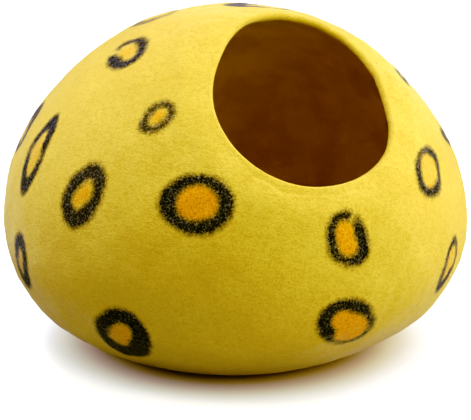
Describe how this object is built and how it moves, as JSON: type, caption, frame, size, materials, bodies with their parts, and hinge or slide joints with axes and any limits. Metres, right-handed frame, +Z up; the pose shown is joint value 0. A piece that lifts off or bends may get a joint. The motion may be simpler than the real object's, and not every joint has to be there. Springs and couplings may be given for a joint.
{
  "type": "felt cat cave",
  "caption": "Squat round pod of thick wool felt, a hollow pet bed with an oval mouth in its upper front, yellow with dark-ringed amber leopard spots.",
  "frame": {"origin": "under the middle of the pod's box, at the level of the floor it rests on", "axes": "+Z up, +X to the right and -Y to the front as seen when facing the pod, whose mouth faces up and to the front right"},
  "size_m": [0.4818, 0.4722, 0.3499],
  "materials": {
    "wool_felt": "matte wet-felted wool, yellow with black and amber spots, amber-brown inside"
  },
  "bodies": {
    "root": {"felt_cave": "wool_felt"}
  },
  "joints": []
}
